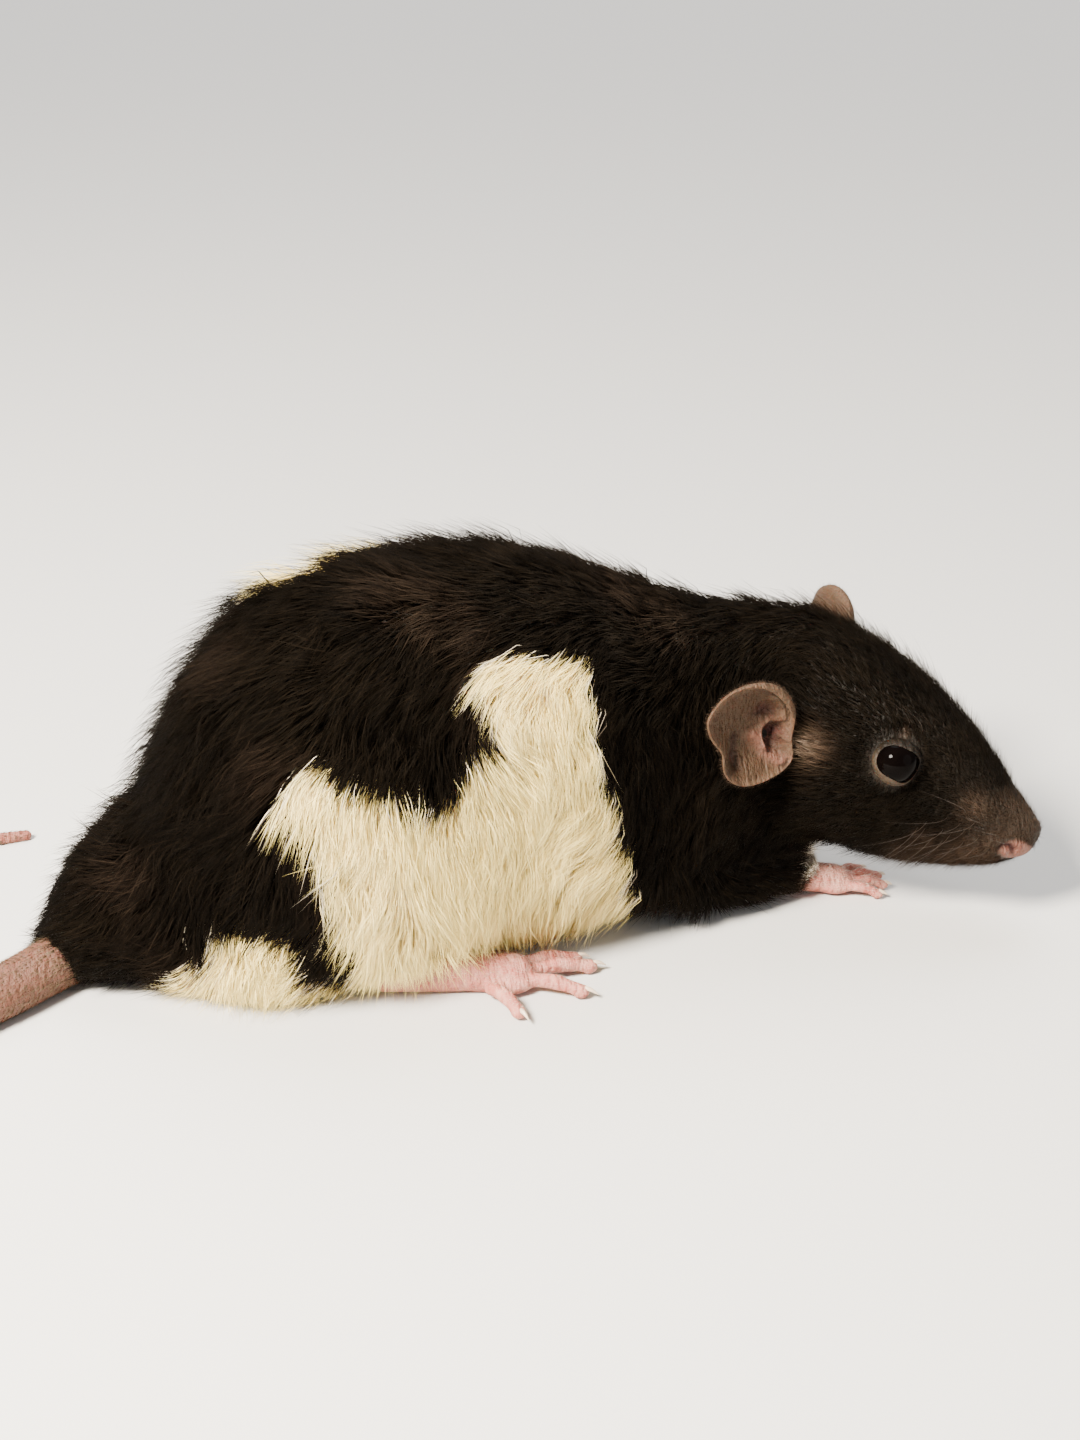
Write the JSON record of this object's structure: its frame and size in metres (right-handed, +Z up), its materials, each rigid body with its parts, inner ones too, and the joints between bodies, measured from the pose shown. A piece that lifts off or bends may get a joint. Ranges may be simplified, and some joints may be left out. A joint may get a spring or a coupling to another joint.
{
  "type": "dumbo rat",
  "caption": "Life-size model of a crouching dumbo rat, brown-black with cream patches, low round ears and a long bare tail.",
  "frame": {"origin": "on the floor, under the middle of the animal's box", "axes": "+X along the spine towards the shoulders, +Y to the animal's left, +Z up from the floor it rests on"},
  "size_m": [0.2364, 0.0862, 0.0696],
  "materials": {
    "coat": "soft brown-black fur with cream patches",
    "skin": "bare pink skin of feet, tail and ears, with fine hairs",
    "eyes": "wet black"
  },
  "bodies": {
    "root": {"head": "coat", "neck": "coat", "torso": "coat", "rump": "coat", "arm_left": "coat", "arm_right": "coat", "thigh_left": "coat", "thigh_right": "coat", "hand_left": "skin", "hand_right": "skin", "hind_foot_left": "skin", "hind_foot_right": "skin", "ear_left": "skin", "ear_right": "skin", "tail_1": "skin", "tail_2": "skin", "tail_3": "skin", "tail_4": "skin", "eye_left": "eyes", "eye_right": "eyes"}
  },
  "joints": []
}
